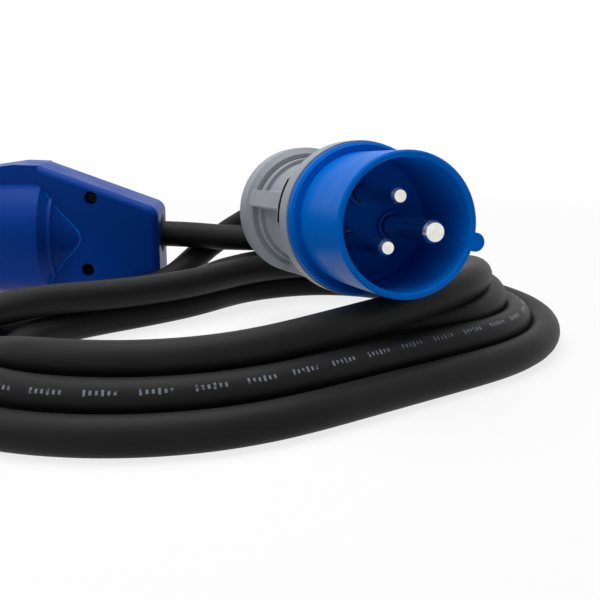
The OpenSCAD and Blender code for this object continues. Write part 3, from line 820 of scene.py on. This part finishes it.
    @staticmethod
    def soften(line: np.ndarray, passes: int) -> None:
        """Draws each point of a line towards its neighbours, in place and with its ends kept."""
        for _ in range(passes):
            line[1:-1] = 0.5 * line[1:-1] + 0.25 * (line[:-2] + line[2:])

    def coil_point(self, turn: float) -> np.ndarray:
        """The middle line at a place in the coil.

        Args:
            turn: Place, in turns from the left end.

        Returns:
            The point in millimetres.
        """
        quarter = math.pi / 2 * self.middle_radius
        legs = (quarter, self.run, 2 * quarter, self.run, quarter)
        left = (turn % 1.0) * sum(legs)
        half = self.run / 2
        for leg, length in enumerate(legs):
            if left < length or leg == len(legs) - 1:
                break
            left -= length
        angle = (math.pi, -math.pi / 2, -math.pi / 2, math.pi / 2, math.pi / 2)[leg]
        x = (-half, -half + left, half, half - left, -half)[leg]
        if leg in (0, 2, 4):
            angle += left / self.middle_radius
        inset, height = self.station(turn)
        reach = self.end_radius - inset - self.diameter / 2
        flat = np.array([x + reach * math.cos(angle), reach * math.sin(angle)])
        c, s = math.cos(math.radians(self.turned_deg)), math.sin(math.radians(self.turned_deg))
        x, y = np.array([[c, -s], [s, c]]) @ flat + self.centre
        return np.array([x, y, height])

    def station(self, turn: float) -> tuple[float, float]:
        """Distance in from the outside and height at a place, eased between stations."""
        table = np.array(self.stations, float)
        i = int(np.clip(np.searchsorted(table[:, 0], turn, side="right") - 1, 0, len(table) - 2))
        share = float(np.clip((turn - table[i, 0]) / (table[i + 1, 0] - table[i, 0]), 0, 1))
        share = share * share * (3 - 2 * share)
        inset, height = table[i, 1:] + (table[i + 1, 1:] - table[i, 1:]) * share
        return inset, height

    @staticmethod
    def through(points: Sequence[Any], steps: int = 6) -> np.ndarray:
        """A smooth line through given points.

        Args:
            points: The points.
            steps: Number of pieces between two of them.

        Returns:
            The line's points.
        """
        p = np.array([np.asarray(q, float) for q in points])
        p = np.vstack([2 * p[0] - p[1], p, 2 * p[-1] - p[-2]])
        line = []
        for a, b, c, d in zip(p, p[1:], p[2:], p[3:]):
            for u in np.arange(steps) / steps:
                line.append(0.5 * (2 * b + (c - a) * u + (2 * a - 5 * b + 4 * c - d) * u**2
                                   + (3 * b - a - 3 * c + d) * u**3))
        return np.array([*line, p[-2]])

    def even(self, line: np.ndarray) -> np.ndarray:
        """The same line with its points one step apart."""
        reach = np.concatenate([[0], np.cumsum(np.linalg.norm(np.diff(line, axis=0), axis=1))])
        at = np.linspace(0, reach[-1], int(round(reach[-1] / self.step)) + 1)
        return np.stack([np.interp(at, reach, line[:, k]) for k in range(3)], axis=1)

    def settle(self, line: np.ndarray, gland: np.ndarray, axis: np.ndarray) -> np.ndarray:
        """Pushes strands apart where they would run into each other, the plug or the floor.

        Args:
            line: The line as chosen.
            gland: Where the cable leaves the plug.
            axis: Direction of the plug towards the cable.

        Returns:
            The settled line.
        """
        base, n = line.copy(), len(line)
        held = np.zeros(n, bool)
        ends = int(self.held_end / self.step)
        held[:ends] = held[-ends:] = True
        near = int(self.own_stretch * self.diameter / self.step)
        for turn in range(self.rounds):
            if turn % self.search_every == 0:
                gaps = np.linalg.norm(line[:, None] - line[None], axis=2)
                close = gaps < self.search_reach * self.diameter
                first, second = np.nonzero(np.triu(close, near + 1))
            apart = line[first] - line[second]
            gap = np.maximum(np.linalg.norm(apart, axis=1), 1e-6)
            deep = np.clip(self.spacing * self.diameter - gap, 0, None)
            push = (self.push_share * deep / gap)[:, None] * apart
            hits = np.bincount(np.concatenate([first, second])[np.tile(deep > 0, 2)], minlength=n)
            move = np.stack([np.bincount(first, push[:, k], n) - np.bincount(second, push[:, k], n)
                             for k in range(3)], axis=1)
            line = line + move / np.sqrt(np.maximum(hits, 1))[:, None]
            line = line + self.plug_share * self.off_plug(line, gland, axis)
            shift = line - base
            self.soften(shift, self.round_passes)
            shift[held] = 0
            line = base + self.kept_share * shift
            line[:, 2] = np.maximum(line[:, 2], self.diameter / 2)
        return line

    def off_plug(self, line: np.ndarray, gland: np.ndarray, axis: np.ndarray) -> np.ndarray:
        """How far each point of the line has to move to lie on the plug and not in it."""
        outline = np.array(self.plug_outline)
        behind = (line - gland) @ axis + self.nut_end
        out = line - gland - np.outer(behind - self.nut_end, axis)
        reach = np.linalg.norm(out, axis=1)
        need = np.interp(behind, outline[:, 0], outline[:, 1]) + self.diameter / 2
        need[(behind < -self.plug_margin) | (behind > self.nut_end - self.plug_margin)] = 0
        return (np.clip(need - reach, 0, None) / np.maximum(reach, 1e-6))[:, None] * out

    def tightest_bend(self) -> float:
        """The smallest bend radius of the line, in millimetres."""
        ways = np.diff(self.line, axis=0)
        ways /= np.linalg.norm(ways, axis=1)[:, None]
        turn = np.arccos(np.clip((ways[1:] * ways[:-1]).sum(1), -1, 1))
        return self.step / float(turn.max())

    def sweep(self) -> bpy.types.Mesh:
        """The sheath's mesh, with its distance along and its direction around as attributes."""
        curve = bpy.data.curves.new("cable_line", "CURVE")
        curve.dimensions = "3D"
        spline = curve.splines.new("POLY")
        spline.points.add(len(self.line) - 1)
        spline.points.foreach_set("co", np.c_[self.line * MM, np.ones(len(self.line))].ravel())
        holder = bpy.data.objects.new("cable_line", curve)
        tree = GeometryTree("swept_sheath", {"Radius": "NodeSocketFloat", "Sides": "NodeSocketInt"})
        length = tree.make("GeometryNodeSplineParameter")
        up = tree.make("GeometryNodeSetCurveNormal", {"mode": "Z_UP"}, {"Curve": tree.geometry})
        path = tree.make(
            "GeometryNodeStoreNamedAttribute", {"data_type": "FLOAT", "domain": "POINT"},
            {"Geometry": up.outputs[0], "Name": "along", "Value": length.outputs["Length"]})
        ring = tree.make("GeometryNodeCurvePrimitiveCircle", None,
                         {"Resolution": tree.inputs["Sides"], "Radius": tree.inputs["Radius"]})
        place = tree.make("GeometryNodeInputPosition")
        way = tree.make("ShaderNodeVectorMath", {"operation": "NORMALIZE"},
                        {0: place.outputs[0]})
        profile = tree.make(
            "GeometryNodeStoreNamedAttribute", {"data_type": "FLOAT_VECTOR", "domain": "POINT"},
            {"Geometry": ring.outputs[0], "Name": "around", "Value": way.outputs[0]})
        tube = tree.make("GeometryNodeCurveToMesh", None,
                         {"Curve": path.outputs[0], "Profile Curve": profile.outputs[0],
                          "Fill Caps": True})
        return tree.finish(holder, tube.outputs[0], SHEATH,
                           {"Radius": self.diameter / 2 * MM, "Sides": self.sides})


@dataclass
class Plug:
    """The plug's visible pieces. Sizes are in millimetres."""

    # Moulded pieces: solid, finish, width of the broken edges
    edges: tuple[tuple[str, Finish, float], ...] = (
        ("plug_shroud", BLUE, 0.25),
        ("plug_housing", GREY, 0.35),
        ("plug_gland_nut", GREY, 0.35),
    )
    # Pins: solid, diameter, angle on their circle
    pins: tuple[tuple[str, float, float], ...] = (
        ("plug_live_pin", 5.0, 120.0),
        ("plug_neutral_pin", 5.0, 240.0),
        ("plug_earth_pin", 7.0, 0.0),
    )
    pin_circle: float = 8.75
    # The pins' outline behind the rim: distance out from the pin's radius, height
    pin_outline: tuple[tuple[float, float], ...] = (
        (-0.8, -0.4), (-0.7, -0.43), (0.0, -1.6), (0.0, -38.5), (0.4, -38.5), (0.4, -44.0),
        (1.4, -44.0), (1.4, -64.0),
    )
    # The hole for the wire: radius, depth
    wire_hole: tuple[float, float] = (1.2, 9.0)
    # A near-black sheet in the latch slits that paints their shade: radius and height of its lines
    shade_sheet: tuple[tuple[float, float], ...] = (
        (22.3, -48.1), (20.8, -50.1), (24.9, -50.1), (25.06, -50.6),
    )
    shade_sheet_half_deg: float = 17.0
    shade_sheet_steps: int = 24

    def build(self) -> None:
        """Makes the plug's pieces."""
        for node, finish, edge in self.edges:
            mesh = Workshop.refit(node, edge * MM)
            Workshop.piece(f"{node}_moulded", mesh, finish, Body.CABLE, (node,))
        for node, diameter, angle in self.pins:
            mesh = self.pin(node, diameter, angle)
            Workshop.piece(f"{node}_turned", mesh, PIN, Body.CABLE, (node,))
        # A near-black sheet in the latch slits paints their shade.
        Workshop.piece("plug_latch_shade_sheet", self.slit_shade_sheet(), SHADE_SHEET, Body.CABLE, ())

    def pin(self, node: str, diameter: float, angle: float) -> bpy.types.Mesh:
        """One contact pin with its barrel and the hole for its wire.

        Args:
            node: The solid that it stands for.
            diameter: The pin's diameter.
            angle: Its place on the circle of pins, in degrees.

        Returns:
            The pin's mesh.
        """
        hole_r, hole_l = self.wire_hole
        front, back = self.pin_outline[0][1], self.pin_outline[-1][1]
        outline = [
            (0.0, front), *((diameter / 2 + out, z) for out, z in self.pin_outline),
            (hole_r, back), (hole_r, back + hole_l), (0.0, back + hole_l),
        ]
        turn = Matrix.Rotation(math.radians(angle), 4, "Z")
        place = PLUG_PLACE.matrix() @ turn @ Matrix.Translation((self.pin_circle, 0.0, 0.0))
        return Workshop.lathe(node, outline, place)

    def slit_shade_sheet(self) -> bpy.types.Mesh:
        """A near-black sheet in the slits in front of both latch heads, painted shade of the slits.
        """
        half = math.radians(self.shade_sheet_half_deg)
        work = bmesh.new()
        for side in (0.0, math.pi):
            rows = [
                [work.verts.new((r * math.cos(side + a), r * math.sin(side + a), z))
                 for a in np.linspace(-half, half, self.shade_sheet_steps)]
                for r, z in self.shade_sheet
            ]
            for low, high in zip(rows, rows[1:]):
                for corners in zip(low, low[1:], high[1:], high):
                    work.faces.new(corners)
        work.transform(Matrix.Scale(MM, 4) @ PLUG_PLACE.matrix())
        mesh = bpy.data.meshes.new("plug_latch_shade_sheet")
        work.to_mesh(mesh)
        work.free()
        return mesh


@dataclass
class Coupler:
    """The coupler's visible pieces. Sizes are in millimetres."""

    # Pieces: solid, finish, width of the broken edges, angle from which an edge is broken, body
    edges: tuple[tuple[str, Finish, float, float, Body], ...] = (
        ("coupler_near_shell", SHADED_BLUE, 0.8, 18.0, Body.CABLE),
        ("coupler_far_shell", SHADED_BLUE, 0.8, 18.0, Body.CABLE),
        ("coupler_collar", SHADED_BLUE, 0.4, 32.0, Body.CABLE),
        ("coupler_lid", SHADED_BLUE, 0.4, 32.0, Body.LID),
    )
    # The tail: half its thickness, the chamfer round its flat faces and how that is rounded
    tail_half: float = 14.0
    chamfer: float = 2.0
    chamfer_slack: float = 0.5
    outline_round: float = 1.3
    # The bell: start and end behind the cable's mouth, and its rise out of the tail's faces
    bell_start: float = 33.0
    bell_end: float = 47.0
    bell_steps: tuple[tuple[float, float], ...] = ((0, 0), (3, 1), (7, 2.9), (11, 6.2), (14, 9.8))
    # The beads, in the plug's lighter blue, paint a highlight along the bell's edge: radius, sides,
    # height of their blunt tips, points on a tip and on a side
    highlight_bead_r: float = 0.4
    highlight_bead_sides: int = 10
    tip_height: float = 2.0
    tip_points: int = 8
    side_points: int = 24

    def build(self) -> None:
        """Makes the coupler's pieces."""
        for node, finish, edge, sharp, body in self.edges:
            mesh = Workshop.refit(node, edge * MM, sharp, self.outline_round * MM, self.on_outline)
            Workshop.piece(f"{node}_moulded", mesh, finish, body, (node,))
        # Beads in the plug's lighter blue paint a highlight along the bell's edge.
        Workshop.piece("coupler_bell_highlight_beads", self.bell_highlight_beads(), BLUE, Body.CABLE, ())

    def on_outline(self, place: Vector) -> bool:
        """Whether a place is on the chamfered outline of the tail."""
        along = COUPLER_PLACE.origin[0] - place.x / MM
        off = abs(place.y / MM - COUPLER_PLACE.origin[1])
        inner = self.tail_half - self.chamfer - self.chamfer_slack
        return along < self.bell_end and off > inner

    def bell_highlight_beads(self) -> bpy.types.Mesh:
        """Fine beads in a lighter blue where the bell rises from the tail's flat faces, a painted
        highlight along that edge.
        """
        rise = np.array([
            *np.linspace(0, 1, self.tip_points) ** 2 * self.tip_height,
            *np.linspace(
                self.tip_height, self.bell_end - self.bell_start, self.side_points)[1:],
        ])
        reach = self.tail_half + np.interp(rise, *np.array(self.bell_steps).T)
        across = np.sqrt(np.maximum(reach**2 - self.tail_half**2, 0))
        half = list(zip(across, self.bell_start + rise))
        line = [(-h, z) for h, z in half[:0:-1]] + half
        curve = bpy.data.curves.new("bell_edge", "CURVE")
        curve.dimensions = "3D"
        for side in (-1, 1):
            points = [COUPLER_PLACE.point(h, side * self.tail_half, z) * MM for h, z in line]
            spline = curve.splines.new("POLY")
            spline.points.add(len(points) - 1)
            spline.points.foreach_set("co", np.c_[points, np.ones(len(points))].ravel())
        holder = bpy.data.objects.new("bell_edge", curve)
        tree = GeometryTree("bell_highlight_bead", {"Radius": "NodeSocketFloat"})
        ring = tree.make("GeometryNodeCurvePrimitiveCircle", None,
                         {"Resolution": self.highlight_bead_sides, "Radius": tree.inputs["Radius"]})
        tube = tree.make("GeometryNodeCurveToMesh", None,
                         {"Curve": tree.geometry, "Profile Curve": ring.outputs[0],
                          "Fill Caps": True})
        return tree.finish(holder, tube.outputs[0], BLUE, {"Radius": self.highlight_bead_r * MM})


def dress_solids() -> None:
    """Gives each solid that stays the finish of its record slot."""
    for part in frame["record"]["subparts"]:
        node = frame["nodes"][part["node"]]
        finish = ODD_FINISHES.get(part["node"], FINISHES[part["material_slot"]])
        node.data.materials.clear()
        node.data.materials.append(finish.material())


@dataclass
class Studio:
    """Floor, lamps, background and camera. Sizes are in millimetres."""

    camera_at: Point = (-12.0, -286.0, 94.0)
    camera_down_deg: float = 12.7
    lens: float = 60.0
    sensor: float = 36.0
    clip_start: float = 10.0
    # The floor: half its width, its grey, the share of shadow that shows, and where that fades
    floor_half: float = 4000.0
    floor_grey: float = 0.86
    floor_shade: float = 0.2
    floor_fade: tuple[float, float] = (260.0, 620.0)
    ambient: float = 0.12
    # Lamps: name, place, point aimed at, width, power
    lamps: tuple[tuple[str, Point, Point, float, float], ...] = (
        ("top_softbox", (-80.0, 120.0, 900.0), (0.0, 60.0, 20.0), 900.0, 9.0),
        ("left_fill", (-720.0, -400.0, 800.0), (0.0, 20.0, 30.0), 700.0, 3.2),
    )

    def build(self) -> None:
        """Makes the whole studio."""
        self.floor()
        self.background()
        for name, at, aim, width, power in self.lamps:
            self.lamp(name, at, aim, width, power)
        self.camera()
        bpy.context.scene.view_settings.view_transform = "Standard"

    @staticmethod
    def seen_ray(tree: ShaderTree) -> Signal:
        """One for rays from the camera, from gloss and through glass, and nought for others."""
        path = tree.make("ShaderNodeLightPath")
        eye, gloss, glass = (
            Signal(tree, path.outputs[f"Is {kind} Ray"])
            for kind in ("Camera", "Glossy", "Transmission")
        )
        return eye.math("MAXIMUM", eye.math("MAXIMUM", eye, gloss), glass)

    def floor(self) -> None:
        """A pale floor that is white to the eye and keeps the object's shadow."""
        work = bmesh.new()
        bmesh.ops.create_grid(work, x_segments=2, y_segments=2, size=self.floor_half * MM)
        mesh = bpy.data.meshes.new("floor")
        work.to_mesh(mesh)
        work.free()
        floor = bpy.data.objects.new("floor", mesh)
        bpy.context.scene.collection.objects.link(floor)
        material = bpy.data.materials.new("pale_floor")
        material.use_nodes = True
        tree = ShaderTree(material.node_tree)
        grey = (self.floor_grey,) * 3
        matt = tree.make("ShaderNodeBsdfDiffuse", None, {"Color": (*grey, 1.0)})
        white = tree.make(
            "ShaderNodeEmission", None, {"Color": (1.0, 1.0, 1.0, 1.0), "Strength": 1.0})
        away = tree.make("ShaderNodeVectorMath", {"operation": "LENGTH"}, {0: tree.place()})
        near, far = (d * MM for d in self.floor_fade)
        shade = Signal(tree, away.outputs["Value"]).span(near, far, self.floor_shade, 0.0)
        seen = self.seen_ray(tree) * (1 - shade)
        mix = tree.make(
            "ShaderNodeMixShader", None, {0: seen, 1: matt.outputs[0], 2: white.outputs[0]})
        tree.make("ShaderNodeOutputMaterial", None, {"Surface": mix.outputs[0]})
        mesh.materials.append(material)

    def background(self) -> None:
        """A white background with softer light from all round."""
        world = bpy.data.worlds.new("white_studio")
        world.use_nodes = True
        tree = ShaderTree(world.node_tree)
        strength = self.seen_ray(tree) * (1 - self.ambient) + self.ambient
        light = tree.make("ShaderNodeBackground", None,
                          {"Color": (1.0, 1.0, 1.0, 1.0), "Strength": strength})
        tree.make("ShaderNodeOutputWorld", None, {"Surface": light.outputs[0]})
        bpy.context.scene.world = world

    @staticmethod
    def lamp(name: str, at: Point, aim: Point, width: float, power: float) -> None:
        """Hangs one soft lamp.

        Args:
            name: The lamp's name.
            at: Its place.
            aim: The point that it faces.
            width: Its width.
            power: Its power in watts.
        """
        light = bpy.data.lights.new(name, "AREA")
        light.shape = "SQUARE"
        light.size = width * MM
        light.energy = power
        lamp = bpy.data.objects.new(name, light)
        lamp.location = Vector(at) * MM
        lamp.rotation_euler = (Vector(aim) - Vector(at)).to_track_quat("-Z", "Y").to_euler()
        bpy.context.scene.collection.objects.link(lamp)

    def camera(self) -> None:
        """Sets the camera where the photograph was taken from."""
        data = bpy.data.cameras.new("camera")
        data.lens = self.lens
        data.sensor_width = self.sensor
        data.clip_start = self.clip_start * MM
        camera = bpy.data.objects.new("camera", data)
        camera.location = Vector(self.camera_at) * MM
        camera.rotation_euler = (math.radians(90 - self.camera_down_deg), 0.0, 0.0)
        bpy.context.scene.collection.objects.link(camera)
        bpy.context.scene.camera = camera


def main() -> None:
    """Builds the looks in order."""
    logging.basicConfig(level=logging.INFO, format="%(name)s %(message)s")
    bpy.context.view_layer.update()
    Studio().build()
    dress_solids()
    Cable().build()
    Plug().build()
    Coupler().build()


if __name__ == "__main__":
    main()
